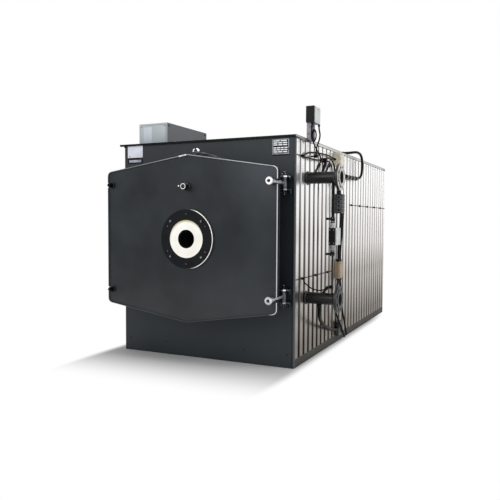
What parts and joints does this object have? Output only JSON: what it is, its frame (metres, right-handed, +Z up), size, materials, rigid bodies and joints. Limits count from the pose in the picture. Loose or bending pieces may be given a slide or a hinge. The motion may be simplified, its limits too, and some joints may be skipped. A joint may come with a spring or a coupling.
{
  "type": "industrial boiler",
  "caption": "Horizontal industrial boiler in a corrugated casing, with a hinged six-sided burner door, clamp bolts, side flow and return pipes, a pressure switch and a rear flue outlet.",
  "frame": {"origin": "on the floor under the middle of the casing", "axes": "+Z up, the burner door looks along -Y, and +X is the side that carries the flow and return pipes"},
  "size_m": [1.811, 3.47, 1.944],
  "materials": {
    "dark_paint": "textured",
    "black_paint": "satin",
    "grey_paint": "satin",
    "bright_sheet": "polished",
    "trim_metal": "satin",
    "bare_steel": "brushed",
    "zinc_steel": "polished",
    "cast_metal": "matte",
    "refractory": "matte",
    "rope_seal": "matte",
    "dark_glass": "polished",
    "black_plastic": "matte",
    "grey_plastic": "matte",
    "light_plastic": "matte",
    "cream_plastic": "matte",
    "cable_rubber": "matte"
  },
  "bodies": {
    "casing": {"base_rails": "dark_paint", "base_cross_members": "dark_paint", "shell_saddles": "dark_paint", "front_panel": "dark_paint", "rear_panel": "dark_paint", "cladding_right": "bright_sheet", "cladding_left": "bright_sheet", "roof_panel": "dark_paint", "roof_trims": "trim_metal", "front_ring": "bare_steel", "outer_shell": "dark_paint", "furnace_coil": "bare_steel", "furnace_end": "refractory", "coil_supports": "bare_steel", "flue_outlet": "dark_paint", "clamp_brackets": "dark_paint", "hinge_brackets": "dark_paint", "flow_pipe": "black_paint", "return_pipe": "black_paint", "flow_flange": "bare_steel", "return_flange": "bare_steel", "sensor_pockets": "black_plastic", "impulse_lines": "black_paint", "isolation_valves": "black_plastic", "switch_ports": "cast_metal", "switch_body": "light_plastic", "switch_cover": "black_plastic", "control_box": "grey_paint", "thermostat_bracket": "trim_metal", "thermostat_box": "light_plastic", "thermostat_cover": "black_plastic", "junction_boxes": "cream_plastic", "terminal_box": "grey_plastic", "thermostat_cable": "cable_rubber", "thermostat_capillary": "cable_rubber", "sensor_cable": "cable_rubber", "roof_conduit": "cable_rubber", "drain_hose": "cable_rubber", "lower_sensor_cable": "cable_rubber", "cable_runs": "cable_rubber", "cable_fixings": "black_plastic", "drain_block": "grey_plastic"},
    "door": {"door_plate": "dark_paint", "door_drum": "dark_paint", "door_lining": "refractory", "door_seal": "rope_seal", "burner_plate": "black_paint", "burner_ring": "refractory", "sight_tube": "zinc_steel", "sight_glass": "dark_glass", "lifting_eye": "zinc_steel", "hinge_bolts": "zinc_steel", "hinge_nuts": "zinc_steel", "burner_studs": "zinc_steel"},
    "clamp_upper": {"clamp_bolt_upper": "zinc_steel", "clamp_nut_upper": "zinc_steel"},
    "clamp_lower": {"clamp_bolt_lower": "zinc_steel", "clamp_nut_lower": "zinc_steel"}
  },
  "joints": [
    {"name": "door_hinge", "type": "hinge", "parent": "casing", "child": "door", "pos_m": [-0.687, -1.545, 0.943], "axis": [0, 0, -1], "range_deg": [0, 110]},
    {"name": "clamp_upper_hinge", "type": "hinge", "parent": "casing", "child": "clamp_upper", "pos_m": [0.687, -1.545, 1.351], "axis": [0, 0, 1], "range_deg": [0, 95]},
    {"name": "clamp_lower_hinge", "type": "hinge", "parent": "casing", "child": "clamp_lower", "pos_m": [0.687, -1.545, 0.535], "axis": [0, 0, 1], "range_deg": [0, 95]}
  ]
}
